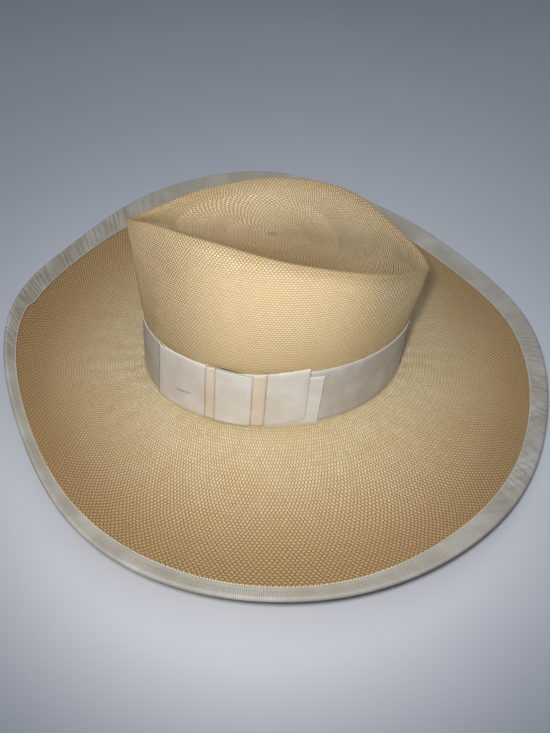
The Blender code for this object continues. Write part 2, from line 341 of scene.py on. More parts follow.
def woven_ring(body, table, table_out, place, grains, slant, relief, face, cells, fineness=1, mapped=None):
    """Adds the ring of weave at a place: two points a grain, raised on the crests.

    face is 1 for the side that is seen and -1 for the inside, fineness is how many rounds make one
    step of place, and mapped how many grains the pattern map counts, where that differs."""
    spot_in_weave = place * fineness
    row = np.floor(spot_in_weave)
    lean = 1 - 2 * np.mod(row, 2)
    share = shares(2 * grains) - lean * slant * (spot_in_weave - row - 0.5) / grains
    t = share[:-1] * TURN
    spot = np.full(len(t), 2 * place)
    height = relief * (grain_height(share[:-1] * grains, spot_in_weave, slant) - 0.5)
    depth = height if face > 0 else -WALL - height
    out = unit(read(table_out, t, spot))
    body.ring(read(table, t, spot) + out * depth[:, None], share, place, mapped or grains, cells, out * face)


class Shade:
    """A socket of a material. Arithmetic on it adds Math nodes, and node() adds any other kind."""

    def __init__(self, tree, socket=None):
        self.tree = tree
        self.socket = socket

    def node(self, kind, settings, inputs, output=0):
        """Adds a node: its settings are set first, then its sockets take their values or links."""
        made = self.tree.nodes.new(kind)
        for name, value in settings.items():
            setattr(made, name, value)
        for name, value in inputs.items():
            if isinstance(value, Shade):
                self.tree.links.new(value.socket, made.inputs[name])
            else:
                made.inputs[name].default_value = value
        return Shade(self.tree, made.outputs[output] if made.outputs else None)

    def math(self, operation, *values):
        return self.node("ShaderNodeMath", {"operation": operation}, dict(enumerate(values)))

    def __add__(self, other):
        return self.math("ADD", self, other)

    def __radd__(self, other):
        return self.math("ADD", other, self)

    def __sub__(self, other):
        return self.math("SUBTRACT", self, other)

    def __rsub__(self, other):
        return self.math("SUBTRACT", other, self)

    def __mul__(self, other):
        return self.math("MULTIPLY", self, other)

    def __rmul__(self, other):
        return self.math("MULTIPLY", other, self)

    def __pow__(self, other):
        return self.math("POWER", self, other)

    def floor(self):
        return self.math("FLOOR", self)

    def sine(self):
        return self.math("SINE", self)

    def within(self, low, high):
        """0 at low, 1 at high, and a smooth step between."""
        ramp = {"interpolation_type": "SMOOTHSTEP"}
        return self.node("ShaderNodeMapRange", ramp, {0: self, 1: low, 2: high, 3: 0.0, 4: 1.0})

    def mix(self, first, second):
        """A colour between two colours, by this value."""
        return self.node("ShaderNodeMix", {"data_type": "RGBA"}, {0: self, 6: first, 7: second}, 2)

    def map(self, title):
        """The two measures of a pattern map."""
        pair = self.node("ShaderNodeUVMap", {"uv_map": title}, {})
        return [self.node("ShaderNodeSeparateXYZ", {}, {0: pair}, k) for k in (0, 1)]

    def place(self, x, y):
        """A place on a flat pattern."""
        return self.node("ShaderNodeCombineXYZ", {}, {0: x, 1: y})

    def noise(self, place, scale, detail):
        """Soft noise about 0.5 at a place."""
        return self.node("ShaderNodeTexNoise", {}, {"Vector": place, "Scale": scale, "Detail": detail})

    def cloud(self, scale, detail=2.0):
        """Soft noise over the whole object."""
        return self.noise(self.node("ShaderNodeTexCoord", {}, {}, 3), scale, detail)


def linear(red, green, blue):
    """A colour given as it looks on a screen, from 0 to 255, as the light that a surface returns."""
    share = np.array([red, green, blue]) / 255
    return (*np.where(share < 0.04045, share / 12.92, ((share + 0.055) / 1.055) ** 2.4), 1.0)


def surface(name, make, roughness):
    """A material whose colour, relief and depth of relief come from make."""
    made = bpy.data.materials.new(name)
    made.use_nodes = True
    made.node_tree.nodes.clear()
    shade = Shade(made.node_tree)
    colour, height, depth = make(shade)
    bump = shade.node("ShaderNodeBump", {}, {"Strength": 1.0, "Distance": depth, "Height": height})
    inputs = {"Base Color": colour, "Roughness": roughness, "Normal": bump}
    bsdf = shade.node("ShaderNodeBsdfPrincipled", {}, inputs)
    shade.node("ShaderNodeOutputMaterial", {}, {"Surface": bsdf})
    return made


# The crests' colours are the straw's own. The gap colours are painted shade between the straws, paler as
# painted light on the side that faces the key light and darkest in the dish. BROWN and its gap colour are
# partly the straw's own browning and partly painted shade.
CREST = linear(236, 210, 162)
CREST_PALE = linear(248, 230, 192)
LIT_GAP = linear(206, 182, 139)
SHADED_GAP = linear(156, 128, 84)
DISH_SHADED_GAP = linear(134, 106, 64)
BROWN = linear(184, 151, 105)
BROWN_SHADED_GAP = linear(122, 94, 58)
GLUE = linear(236, 188, 104)
STRAW_ROUGHNESS, STRAW_RELIEF = 0.55, 0.0006
CREST_RISE = (-0.1, 0.75)
WANDER = ((70.0, 0.9), (110.0, 0.35))
STRAWS_DIFFER, PATCHES_DIFFER, PATCH_SCALE, PALE_FROM = 0.7, 1.2, 28.0, 0.45


def strands(shade, u, v, slant, bow):
    """How high the straw stands at u grains and v rounds, and a chance number for it.

    A straw bows along by the share bow, and every other round is shifted and leans back."""
    row = v.floor()
    f = v - row
    odd = shade.math("MODULO", row, 2.0)
    across = u + (1 - 2 * odd) * (f - 0.5) * slant + 0.5 * odd
    grain = across.floor()
    plane = {"noise_dimensions": "2D"}
    chance = shade.node("ShaderNodeTexWhiteNoise", plane, {"Vector": shade.place(grain, row)})
    return ((across - grain) * np.pi).sine() * (1 - bow * (2 * f - 1) ** 2.0), chance


def weave_map(shade):
    """The count of grains and of rounds. They wander a little, because the weaver's hand wasn't even."""
    counts = shade.map("Weave")
    return [count + (shade.cloud(scale) - 0.5) * far for count, (scale, far) in zip(counts, WANDER)]


def crest(shade, chance):
    """The colour of a straw's crest: straws differ by chance, and wider patches of them by noise."""
    pale = chance * STRAWS_DIFFER + shade.cloud(PATCH_SCALE) * PATCHES_DIFFER - PALE_FROM
    return pale.within(0.0, 1.0).mix(CREST, CREST_PALE)


def woven(height, hollow, top):
    """Colour, relief and depth of a weave: the colour goes from the gaps' painted shade to the crests'
    colour by height.
    """
    return height.within(*CREST_RISE).mix(hollow, top), height, STRAW_RELIEF


FINE_SLANT = 0.3
DISH_ENDS = (34.0, 50.0)
DISH_BOW, WALL_BOW_MORE = 0.5, 0.4
# Where the crown faces the key light, painted light makes the gaps paler and the crests evener, and the
# relief is flatter.
LIT_SIDE_GRAIN, LIT_SIDE_SPREAD = 66.0, (12.0, 42.0)
LIT_SIDE_FLATTER, LIT_SIDE_EVENER = 0.35, 0.45
GLUE_FROM, GLUE_TO = 60 / 360 * CROWN_GRAINS, 98 / 360 * CROWN_GRAINS
GLUE_END, GLUE_SHARE = 2, 0.5
GLUE_RISE = (ROUNDS_TO_BAND - 2.6, ROUNDS_TO_BAND - 1)


def crown_straw(shade):
    """The crown's weave. Its gaps are painted shade between the straws. Where it faces the key light the
    gaps are paler and the crests evener, as painted light, and the relief is flatter. It is brown in
    places, partly painted shade and partly the straw's own browning, and glue has stained it just
    above the bow."""
    u, v = weave_map(shade)
    on_wall = v.within(*DISH_ENDS)
    height, chance = strands(shade, u, v, FINE_SLANT, on_wall * WALL_BOW_MORE + DISH_BOW)
    lit_side = (1 - shade.math("ABSOLUTE", u - LIT_SIDE_GRAIN).within(*LIT_SIDE_SPREAD)) * on_wall
    height = height * (1 - lit_side * LIT_SIDE_FLATTER)
    top = (lit_side * LIT_SIDE_EVENER).mix(crest(shade, chance), LIT_GAP)
    hollow = lit_side.mix(on_wall.mix(DISH_SHADED_GAP, SHADED_GAP), LIT_GAP)
    # Painted shade in the dish and on the front of the wall, the straw's own browning along the rim.
    worn_and_shaded = shade.node("ShaderNodeAttribute", {"attribute_name": "WornAndShaded"}, {}, 2)
    top, hollow = worn_and_shaded.mix(top, BROWN), worn_and_shaded.mix(hollow, BROWN_SHADED_GAP)
    stain = u.within(GLUE_FROM, GLUE_FROM + GLUE_END) * (1 - u.within(GLUE_TO - GLUE_END, GLUE_TO))
    stain = stain * v.within(*GLUE_RISE)
    return woven(height, hollow, (stain * GLUE_SHARE).mix(top, GLUE))


SEAM_ROUND = 46
BEHIND_BAND = (102, 110, 118)
LAST_ROUND = ROUNDS_TO_FOOT - 1e-6
PRESSED_SHARE = 0.2


def crown_rings(body, places, face, cells):
    """Rings of the crown at the middle of each round, with half the grains inside each of its steps.

    The dish was pressed flatter than the wall, so its relief is lower."""
    for place in places:
        grains = CROWN_GRAINS >> sum(place < step for step in CROWN_STEPS)
        relief = FINE_RELIEF * np.interp(place, DISH_ENDS, (PRESSED_SHARE, 1))
        woven_ring(body, crown_table, crown_out, place + 0.5, grains, 0.0, relief, face, cells)


def plain_ring(body, place, face, cells, grains=CROWN_GRAINS):
    """A ring of the crown without relief, at a seam or behind the band."""
    woven_ring(body, crown_table, crown_out, place, grains, 0.0, 0.0, face, cells)


fine_straw = surface("fine_straw", crown_straw, STRAW_ROUGHNESS)
pole = np.array([0.0, 1.0])
tip = Rings()
tip_seen = Cells(4, 2, (0, 0.3, 1, 1), (0, SEAM_ROUND), (0, 1))
tip_hidden = Cells(4, 4, (0, 0, 1, 0.3), (0, SEAM_ROUND), (0, 1))
up = np.array([[0, 0, 1.0]])
tip.ring(crown_table[0, :1], pole, 0, out=up)
crown_rings(tip, np.arange(1, SEAM_ROUND), 1, tip_seen)
plain_ring(tip, SEAM_ROUND, 1, tip_seen)
plain_ring(tip, SEAM_ROUND, -1, tip_hidden)
crown_rings(tip, np.arange(SEAM_ROUND - 1, 0, -1), -1, tip_hidden)
tip.ring(crown_table[0, :1] - (0, 0, WALL), pole, 0, CROWN_GRAINS >> len(CROWN_STEPS), tip_hidden, -up)
crown_tip = tip.mesh("crown_tip", fine_straw)

side = Rings()
side_seen = Cells(2, 1, (0, 0.42, 1, 1), (SEAM_ROUND, ROUNDS_TO_BAND + 4, ROUNDS_TO_FOOT), (0, 0.92, 1))
side_hidden = Cells(2, 1, (0, 0, 1, 0.42), (SEAM_ROUND, ROUNDS_TO_FOOT), (0, 1))
plain_ring(side, SEAM_ROUND, 1, side_seen)
crown_rings(side, np.arange(SEAM_ROUND, ROUNDS_TO_BAND + 3), 1, side_seen)
for place in (*BEHIND_BAND, LAST_ROUND):
    plain_ring(side, place, 1, side_seen, CROWN_GRAINS // 2)
plain_ring(side, LAST_ROUND, -1, side_hidden)
crown_rings(side, np.arange(ROUNDS_TO_FOOT - 1, SEAM_ROUND - 1, -1), -1, side_hidden)
plain_ring(side, SEAM_ROUND, -1, side_hidden)
side.close(SEAM_ROUND, CROWN_GRAINS, side_hidden)
crown_wall = side.mesh("crown_wall", fine_straw)

# How brown the crown's straw is: painted shade in the dish, most on its near side and less towards the back,
# and on the front of the wall; the straw's own browning along the rim.
INSIDE_RIM, OUTSIDE_RIM, HIGH = 10.0, 5.0, (70.0, 76.0)
RIM_DULL, DISH_SHADE = 0.6, 0.2
NEAR_SHADE, NEAR = 0.7, (-40.0, 26.0)
BACK_LESS_SHADE, BACK = 0.4, (10.0, 60.0)
FRONT_SHADE, PINCH = 0.42, (-30.0, -95.0)


def ease(value, low, high):
    """A smooth step from 0 at low to 1 at high."""
    f = np.clip((value - low) / (high - low), 0, 1)
    return f * f * (3 - 2 * f)


def wear_and_shade(piece):
    """Marks on each point, in the attribute that crown_straw reads, how brown the straw is: painted shade
    in the dish, most on the bow's side of it, and on the front of the wall, and the straw's own
    browning along the rim."""
    places = np.empty(3 * len(piece.data.vertices))
    piece.data.vertices.foreach_get("co", places)
    x, y, z = places.reshape(-1, 3).T * 1000
    half_width = around(np.arccos(np.clip((RIM_SHIFT - y) / RIM_HALF_LENGTH, -1, 1)), RIM_ACROSS)
    within_rim = half_width - np.abs(x)
    high = ease(z, *HIGH)
    inside = ease(within_rim, 0, INSIDE_RIM) * high
    near = ease(x, *NEAR) * (1 - BACK_LESS_SHADE * ease(y, *BACK))
    in_dish = inside * (DISH_SHADE + NEAR_SHADE * near)
    at_rim = (1 - inside) * RIM_DULL * ease(within_rim, -OUTSIDE_RIM, 0) * high
    at_front = (1 - inside) * FRONT_SHADE * ease(y, *PINCH)
    marks = in_dish + np.maximum(at_rim, at_front)
    piece.data.attributes.new("WornAndShaded", "FLOAT", "POINT").data.foreach_set("value", marks)


for piece in (crown_tip, crown_wall):
    wear_and_shade(piece)
    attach(piece, "root")
    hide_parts("straw_body")

# The brim: the same weave, let out in coarser herringbone rounds and drawn tight again towards the
# edge. It lies flat on a narrow ring round the crown and turns up to an uneven, wavy edge.
RING_INNER, RING_OUTER = 1.8, 9.5
# The break between crown and brim: height, way out from the foot, and place on the pattern map.
BREAK = ((FOOT["height"], 0, -2), (2.2, 0.5, -1))
BREAK_INSIDE = ((0.0, RING_INNER - 0.4, 0), (1.2, -WALL + 0.3, -1), (FOOT["height"], -WALL, -2))
BRIM_CURL = 2.8
BRIM_REACH = np.array([206, 203.5, 213.5, 212.5, 208, 206, 206.5, 205, 208, 212, 211.5, 207.5])
BRIM_LIFT = np.array([46, 28.5, 29, 27.5, 19.5, 8, 14, 12.5, 23.5, 42.5, 43, 37])
EDGE_INSET = 1.4
BRIM_GRAINS, EDGE_GRAINS = 360, 432
RING_ROUNDS, HERRINGBONE_ROUNDS, EDGE_ROUNDS = 3, 31, 46
HERRINGBONE_WAY = 0.68
LAST_EDGE_ROUND = EDGE_ROUNDS - 1e-6
COARSE_RELIEF = 0.2
COARSE_FADE, FINE_FADE = 6, 3
BRIM_SLANT, BRIM_BOW = 0.34, 0.6
BRIM_STRAWS = 405
LOWER_FROM, LOWER_BY = 14.0, 0.009
EDGE_BROWN_AND_SHADE = (-4.0, 44.0)


def brim(t, way):
    """The brim's upper face from the flat ring at 0 to its edge at 1, lifted as a power of the way."""
    reach = around(t, BRIM_REACH) - EDGE_INSET
    start = oval(t, FOOT["height"], RING_OUTER)
    x = start[..., 0] + (reach * np.sin(t) - start[..., 0]) * way
    y = start[..., 1] + (-reach * np.cos(t) - start[..., 1]) * way
    return stack(x, y, WALL + around(t, BRIM_LIFT) * way**BRIM_CURL)


def brim_straw(shade):
    """The brim's weave, browner towards its edge: partly the straw's own browning and partly painted
    shade where the edge turns up away from the light. Its gaps are painted shade between the straws.
    It has more straws than the crown's, and past one round its rounds grow lower, by the square of
    the way from there."""
    u, v = weave_map(shade)
    late = shade.math("MAXIMUM", v - LOWER_FROM, 0.0)
    straws, rows = u * (BRIM_STRAWS / BRIM_GRAINS), v + late * late * LOWER_BY
    height, chance = strands(shade, straws, rows, BRIM_SLANT, BRIM_BOW)
    browned_and_shaded = v.within(*EDGE_BROWN_AND_SHADE)
    return woven(height, browned_and_shaded.mix(SHADED_GAP, BROWN_SHADED_GAP), browned_and_shaded.mix(crest(shade, chance), BROWN))


# The herringbone ends on a line that wanders in two slow waves.
herringbone_way = HERRINGBONE_WAY + 0.025 * np.sin(3 * column + 1) + 0.015 * np.sin(7 * column)
rounds = np.arange(2 * EDGE_ROUNDS + 1)[:, None] / 2
flat_ring = np.array([oval(column, FOOT["height"], out) for out in (RING_INNER, RING_OUTER)])
flat_ring[..., 2] = WALL
flat_ring = flat_ring[:1] + (flat_ring[1:] - flat_ring[:1]) * np.clip(rounds / RING_ROUNDS, 0, 1)[..., None]
coarse = (rounds - RING_ROUNDS) / (HERRINGBONE_ROUNDS - RING_ROUNDS) * herringbone_way
fine = (rounds - HERRINGBONE_ROUNDS) / (EDGE_ROUNDS - HERRINGBONE_ROUNDS) * (1 - herringbone_way)
way = np.where(rounds < HERRINGBONE_ROUNDS, coarse, herringbone_way + fine).clip(0, 1)
brim_table = np.where(rounds[..., None] < RING_ROUNDS, flat_ring, brim(column[None], way))
brim_out = normals(brim_table)
brim_body = Rings()
brim_seen = Cells(8, 4, (0, 0.5, 1, 1), (-2, EDGE_ROUNDS - 3, EDGE_ROUNDS), (0, 0.95, 1))
brim_hidden = Cells(8, 4, (0, 0, 1, 0.5), (-2, EDGE_ROUNDS - 3, EDGE_ROUNDS), (0, 0.95, 1))


def fold_ring(height, out, place, cells):
    """A plain ring of the break between crown and brim, or of its inner face."""
    share = shares(2 * BRIM_GRAINS)
    points = oval(share[:-1] * TURN, FOOT["height"], out)
    points[:, 2] = height
    brim_body.ring(points, share, place, BRIM_GRAINS, cells)


def brim_rings(places, face, cells):
    """Rings of the brim in order: leaning straws as far as the herringbone goes, fine ones beyond.

    Either relief fades where the two meet."""
    for place in places:
        if place <= HERRINGBONE_ROUNDS:
            relief = COARSE_RELIEF * np.clip((HERRINGBONE_ROUNDS + 1 - place) / COARSE_FADE, 0, 1)
            weave = (BRIM_GRAINS, BRIM_SLANT, relief, face, cells)
        else:
            relief = FINE_RELIEF * np.clip((place - HERRINGBONE_ROUNDS) / FINE_FADE, 0, 1)
            weave = (EDGE_GRAINS, 0.0, relief, face, cells, 2, BRIM_GRAINS)
        woven_ring(brim_body, brim_table, brim_out, place, *weave)


herringbone_places = np.arange(2 * HERRINGBONE_ROUNDS + 1) / 2
edge_places = np.arange(HERRINGBONE_ROUNDS, EDGE_ROUNDS - 4, 0.5) + 0.25
edge_places = np.append(edge_places, (EDGE_ROUNDS - 3, EDGE_ROUNDS - 1.5, LAST_EDGE_ROUND))
for height, out, place in BREAK:
    fold_ring(height, out, place, brim_seen)
brim_rings(herringbone_places, 1, brim_seen)
brim_rings(edge_places, 1, brim_seen)
brim_rings(edge_places[::-2], -1, brim_hidden)
brim_rings(np.arange(HERRINGBONE_ROUNDS, 0, -2) - 0.5, -1, brim_hidden)
for height, out, place in BREAK_INSIDE:
    fold_ring(height, out, place, brim_hidden)
brim_body.close(-2, BRIM_GRAINS, brim_hidden)
brim_piece = brim_body.mesh("brim", surface("brim_straw", brim_straw, STRAW_ROUGHNESS))
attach(brim_piece, "root")
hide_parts("straw_body")

# The binding: a ribbed ribbon folded over the brim's edge and sewn through near both of its own edges.
# It was gathered where the edge turns in, so its upper width wanders round the hat.
BINDING_WIDTH = 23.0
BINDING_TOP = np.array([5.5, 4.9, 8.9, 7.3, 10.5, 10.8, 12.8, 17, 15.5, 13.5, 13.5, 7.4])
BINDING_STEP, STEP_START, STEP_END = 2.2, (310, 410, 30), (260, 354, 2.5)
BINDING_LIFT, BINDING_UNDER, LEAST_LIFT = 0.7, 0.75, 0.45
BINDING_POINTS = 1600
BINDING_RIBS = 1150
NOSE_REACH, NOSE_INSIDE = 1.35, 0.9
EDGE_RADIUS = 208
GATHERED, GATHER_HIGH, GATHER_SLANT, GATHER_LENGTH = (300, 376), 0.5, 1.2, 3.4
FOLDED, FOLD_HIGH, FOLD_SLANT, FOLD_LENGTH = (126, 178), 0.9, 1.4, 11
PUFF_SHARE, PUFF_LEAST = 0.6, 0.1
CREASED, CREASE_DEEP, CREASE_WAY, CREASE_WIDE = (58, 122), 0.28, 0.58, 0.06
RIBBON_WHITE = linear(206, 204, 198)
RIBBON_OLD = linear(184, 179, 168)


def binding_frame(t, inset):
    """The brim's face at a distance in from its edge, with the directions across it and away from it."""
    length = np.linalg.norm(brim(t, np.ones_like(t)) - brim(t, np.zeros_like(t)), axis=-1)
    way = 1 - inset / length
    step = 1e-3
    point = brim(t, way)
    across = unit(brim(t, way + step) - brim(t, way - step))
    along = brim(t + step, way) - brim(t - step, way)
    return point, across, unit(np.cross(across, along))


def window(t, low, high, soft=8):
    """1 between two angles in degrees and 0 outside, with soft ends."""
    turn = np.mod(np.degrees(t) - low + 180, 360) - 180
    return 1 / (1 + np.exp(-turn / soft * 4)) / (1 + np.exp((turn - (high - low)) / soft * 4))


def upper_width(t):
    """How much of the ribbon lies on top: a smooth curve, with a step where it was pulled over."""
    return around(t, BINDING_TOP) + BINDING_STEP * (window(t, *STEP_START) * window(t, *STEP_END))


def pleats(t, across):
    """How far the ribbon stands up: gathers where the edge turns in, a few deep folds, and slow waves.

    Gathers are slanted sine waves, folds the absolute value of a slower one, and a still slower wave
    shifts either along, so that none is like the next."""
    way = t * EDGE_RADIUS
    gather = (way + GATHER_SLANT * across) / GATHER_LENGTH * TURN + 1.5 * np.sin(way / 21)
    gathers = window(t, *GATHERED) * GATHER_HIGH * np.sin(gather)
    fold = (way + FOLD_SLANT * across) / FOLD_LENGTH * np.pi + np.sin(way / 9)
    folds = window(t, *FOLDED) * FOLD_HIGH * np.abs(np.sin(fold))
    waves = 0.15 * np.sin(way / 17 + 0.2 * across) + 0.1 * np.sin(way / 6.3 - 0.3 * across)
    return gathers + folds + waves


share = shares(BINDING_POINTS)
angle = share[:-1] * TURN
top_width = upper_width(angle)
under_width = BINDING_WIDTH - top_width
nose = np.linspace(np.pi / 2, -np.pi / 2, 9)
flange = np.linspace(0, 1, 12)
# The ribbon's section, from its upper edge over the nose to its lower edge and back inside: how far out
# from the brim's edge each point lies, and how high over the brim's face.
binding_section = (
    [(-top_width, 0.12), (-top_width - 0.1, 0.4), (-top_width + 0.15, 0.66)]
    + [(-top_width + 0.5 + (top_width - 0.6) * f, "top") for f in flange]
    + [(NOSE_REACH * np.cos(a), -WALL / 2 + (WALL / 2 + BINDING_LIFT) * np.sin(a)) for a in nose[1:-1]]
    + [(-0.1 - (under_width - 0.5) * f, "under") for f in flange[::2]]
    + [(-under_width - 0.1, -WALL - 0.4), (-under_width, -WALL - 0.12)]
    + [(-under_width * f, -WALL - 0.14) for f in (0.7, 0.35, 0.05)]
    + [(NOSE_INSIDE * np.cos(a), -WALL / 2 + 0.92 * np.sin(a)) for a in nose[::-2][1:-1]]
    + [(-top_width * f, 0.14) for f in (0.05, 0.35, 0.7)]
)
binding_seen = Cells(8, 1, (0, 0, 1, 1), (0, 46, 80), (0, 0.9, 1))
binding_body = Rings()
run, before = 0.0, None
for out_way, height in binding_section:
    inset = np.maximum(-out_way, 0)
    point, across, out = binding_frame(angle, inset)
    if isinstance(height, str):
        face = 1 if height == "top" else -1
        width = top_width if face > 0 else under_width
        edge_way = inset / width
        puff = pleats(angle, inset) * np.sin(np.pi * np.clip(edge_way, 0, 1)) ** 0.5
        crease = np.exp(-(((edge_way - CREASE_WAY) / CREASE_WIDE) ** 2)) * (face > 0)
        puff = puff * PUFF_SHARE + PUFF_LEAST - window(angle, *CREASED) * CREASE_DEEP * crease
        height = (BINDING_LIFT if face > 0 else -WALL - BINDING_UNDER) + face * puff
        height = np.where(face > 0, np.maximum(height, LEAST_LIFT), np.minimum(height, -WALL - LEAST_LIFT))
    lifted = out * np.broadcast_to(height, angle.shape)[:, None]
    points = point + across * np.maximum(out_way, 0)[..., None] + lifted
    run = run if before is None else run + np.linalg.norm(points - before, axis=-1).mean()
    before = points
    binding_body.ring(points, share, run, BINDING_RIBS, binding_seen)
binding_body.close(run + 1, BINDING_RIBS, binding_seen)


RIBBON_SHADE = linear(112, 100, 82)
RIB_RELIEF = 0.00014
STREAK_ACROSS, STREAK_ALONG, STREAK_SHADE, STREAK_HIGH = 1.3, 0.05, 0.28, 0.8
PATCHES, PATCH_EDGE, PATCH_LESS = 45.0, 2.4, 0.8
DOT_PITCH, DOT_EDGE, DOT_SHADE = 1.45, (-0.4, 0.4), 0.65
WRAPPED_OVER, WRAPPED_SHADE = (50.2, 51.0), 0.6
FOLD_DARK, FOLD_CLEAR, FOLD_SHADE = (-1.3, 0.1), (4.0, 8.0), 0.95
MARK_HEIGHT, MARK_THIN, MARK_SLOPE = 0.27, 28.0, 0.09
MARK_BEFORE, MARK_SHORT, MARK_SHADE = 24.0, 0.1, 0.35
DEEP_ACROSS, DEEP_LEAN, DEEP_ALONG, DEEP_EDGE, DEEP_LOW = 0.45, 0.14, 0.05, (0.3, 0.6), 2.5
GATHERS_START, GATHERS_END = (940.0, 1000.0), (10.0, 60.0)
FOLDS_START, FOLDS_END, FOLDS_SHARE = (390.0, 440.0), (550.0, 600.0), 0.8


def ribbed(colour, aged, along_u, pitch=1.0, ribs=0.2, soil=0.0, gather=0.0, fold=None):
    """Grosgrain: fine ribs across the ribbon, a sine wave, with streaks, older patches and painted shade.

    The ribs follow the map's first measure where along_u is true, and ribs is how dark the painted
    shade in their grooves is. A share of the width given for the edges puts a dotted line of painted
    shade at either edge, where tiny loops line the selvedge, and a line of painted shade where the
    strip turns over the top of the band. gather is how dark the painted shade in the slanted creases
    is, from stretched noise. fold is how far along a ribbon is turned back: painted shade lies just
    under that fold, and in a short pressed mark before it."""
    def make(shade):
        u, v = shade.map("Weave")
        over, down = (u, v) if along_u else (v, u)
        rib = (over * (TURN / pitch)).sine() * 0.5 + 0.5
        streak = shade.noise(shade.place(over * STREAK_ACROSS, down * STREAK_ALONG), 1.0, 3.0)
        tone = (shade.cloud(PATCHES, 3.0) * PATCH_EDGE - PATCH_LESS).within(0.0, 1.0).mix(aged, colour)
        # Painted shade in the grooves between the ribs, and streaks of the ribbon's own tone.
        shade_and_streaks = (1 - rib) * ribs + (streak - 0.35) * STREAK_SHADE
        height = rib + streak * STREAK_HIGH
        if soil:
            border = 1 - u.within(0.0, soil) + u.within(1 - soil, 1.0)
            dots = border * (v * (TURN / DOT_PITCH)).sine().within(*DOT_EDGE)
            shade_and_streaks = shade_and_streaks + dots * DOT_SHADE + v.within(*WRAPPED_OVER) * WRAPPED_SHADE
        if fold:
            past = v - fold
            under = past.within(*FOLD_DARK) * (1 - past.within(*FOLD_CLEAR))
            aside, along = (u - MARK_HEIGHT) * MARK_THIN + past * MARK_SLOPE, past + MARK_BEFORE
            mark = (aside**2.0 + (along * MARK_SHORT) ** 2.0).within(1.0, 0.0)
            shade_and_streaks = shade_and_streaks + under * FOLD_SHADE + mark * MARK_SHADE
        if gather:
            slanted = shade.place(over * DEEP_ACROSS + down * DEEP_LEAN, down * DEEP_ALONG)
            ahead = u.within(*GATHERS_START) + 1 - u.within(*GATHERS_END)
            behind = u.within(*FOLDS_START) - u.within(*FOLDS_END)
            deep = (1 - shade.noise(slanted, 1.0, 1.0).within(*DEEP_EDGE)) * (ahead + behind * FOLDS_SHARE)
            shade_and_streaks, height = shade_and_streaks + deep * gather, height - deep * DEEP_LOW
        return shade_and_streaks.mix(tone, RIBBON_SHADE), height, RIB_RELIEF
    return make


RIBBON_ROUGHNESS, AGED_ROUGHNESS = 0.55, 0.6
binding_look = ribbed(RIBBON_WHITE, RIBBON_OLD, True, ribs=0.36, gather=0.28)
binding = binding_body.mesh("binding", surface("binding_ribbon", binding_look, AGED_ROUGHNESS))
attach(binding, "root")
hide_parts("brim_binding")

# The stitches that hold the binding: cotton thread in a row of small loops, sewn by hand along the
# ribbon's upper edge and again along its lower one.
THREAD = 0.46
THREAD_SIDES, THREAD_PINCHED = 6, 0.3
THREAD_SHADE = linear(128, 108, 76)
THREAD_ROUGHNESS, THREAD_RELIEF, THREAD_FUZZ = 0.6, 0.00005, 1500.0
LOOP_POINTS = 4
STITCHES = 760
STITCH_INSET, STITCH_OFF = 0.5, 0.05


def beaded_loop(body, centre, out, beads, thread, flatness=1.0):
    """A closed row of thread loops along a line: a six-sided cord, thick and thin by turns as a sine."""
    share = shares(len(centre))
    thick = THREAD_PINCHED + (1 - THREAD_PINCHED) * np.abs(np.sin(np.pi * beads * share[:-1]))
    radius = (thread * thick)[:, None]
    ahead = np.roll(centre, -1, axis=0) - np.roll(centre, 1, axis=0)
    aside = unit(np.cross(ahead, out))
    body.next_body()
    for corner in np.arange(THREAD_SIDES) * TURN / THREAD_SIDES:
        away = np.cos(corner) * aside + flatness * np.sin(corner) * out
        body.ring(centre + radius * away, share, corner, beads)
        if corner == 0:
            body.first = body.last
    body.close(TURN, beads)


def thread_finish(name, colour):
    """Cotton thread, with painted shade between its loops."""
    def make(shade):
        pinch = 1 - shade.math("ABSOLUTE", (shade.map("Weave")[0] * np.pi).sine())
        return pinch.within(0.1, 0.8).mix(colour, THREAD_SHADE), shade.cloud(THREAD_FUZZ), THREAD_RELIEF
    return surface(name, make, THREAD_ROUGHNESS)


stitches = Rings()
stitch_angle = shares(STITCHES * LOOP_POINTS)[:-1] * TURN
for face in (1, -1):
    width = upper_width(stitch_angle)
    width = width if face > 0 else BINDING_WIDTH - width
    point, across, out = binding_frame(stitch_angle, width - STITCH_INSET)
    lift = BINDING_LIFT + STITCH_OFF if face > 0 else -WALL - BINDING_UNDER - STITCH_OFF
    beaded_loop(stitches, point + out * lift, out * face, STITCHES, THREAD, 0.8)
stitch_thread = thread_finish("stitch_thread", linear(226, 220, 202))
binding_stitches = stitches.mesh("binding_stitches", stitch_thread)
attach(binding_stitches, "root")

# The hat band: a wide grosgrain ribbon with upright ribs, laid round the foot of the crown and drawn
# tight. The bow's knot pulls its upper edge down a little.
BAND_BOTTOM, BAND_TOP = 3.3, 53.7
BAND_INSIDE, BAND_OUTSIDE = 0.25, 0.7
BAND_ROLL, BAND_SLACK = 0.2, 0.1
BAND_POINTS = 576
BAND_RIBS = 520
BAND_WHITE = linear(220, 221, 223)
BAND_OLD = linear(200, 194, 186)
BAND_DIP, DIPPED = 1.8, (61, 84, 2)
share = shares(BAND_POINTS)
angle = share[:-1] * TURN
between = (BAND_INSIDE + BAND_OUTSIDE) / 2
band_section = (
    [(BAND_BOTTOM + BAND_ROLL, BAND_INSIDE), (BAND_BOTTOM, between)]
    + [(height, BAND_OUTSIDE) for height in np.linspace(BAND_BOTTOM + BAND_ROLL, BAND_TOP - BAND_ROLL, 18)]
    + [(BAND_TOP, between)]
    + [(height, BAND_INSIDE) for height in np.linspace(BAND_TOP - BAND_ROLL, BAND_BOTTOM + 5, 5)]
)
FIRST_BEHIND, PLACE_BEHIND = 22, BAND_TOP + 60
band_seen = Cells(4, 1, (0, 0, 1, 1), (BAND_BOTTOM, BAND_TOP + 1, PLACE_BEHIND), (0, 0.9, 1))
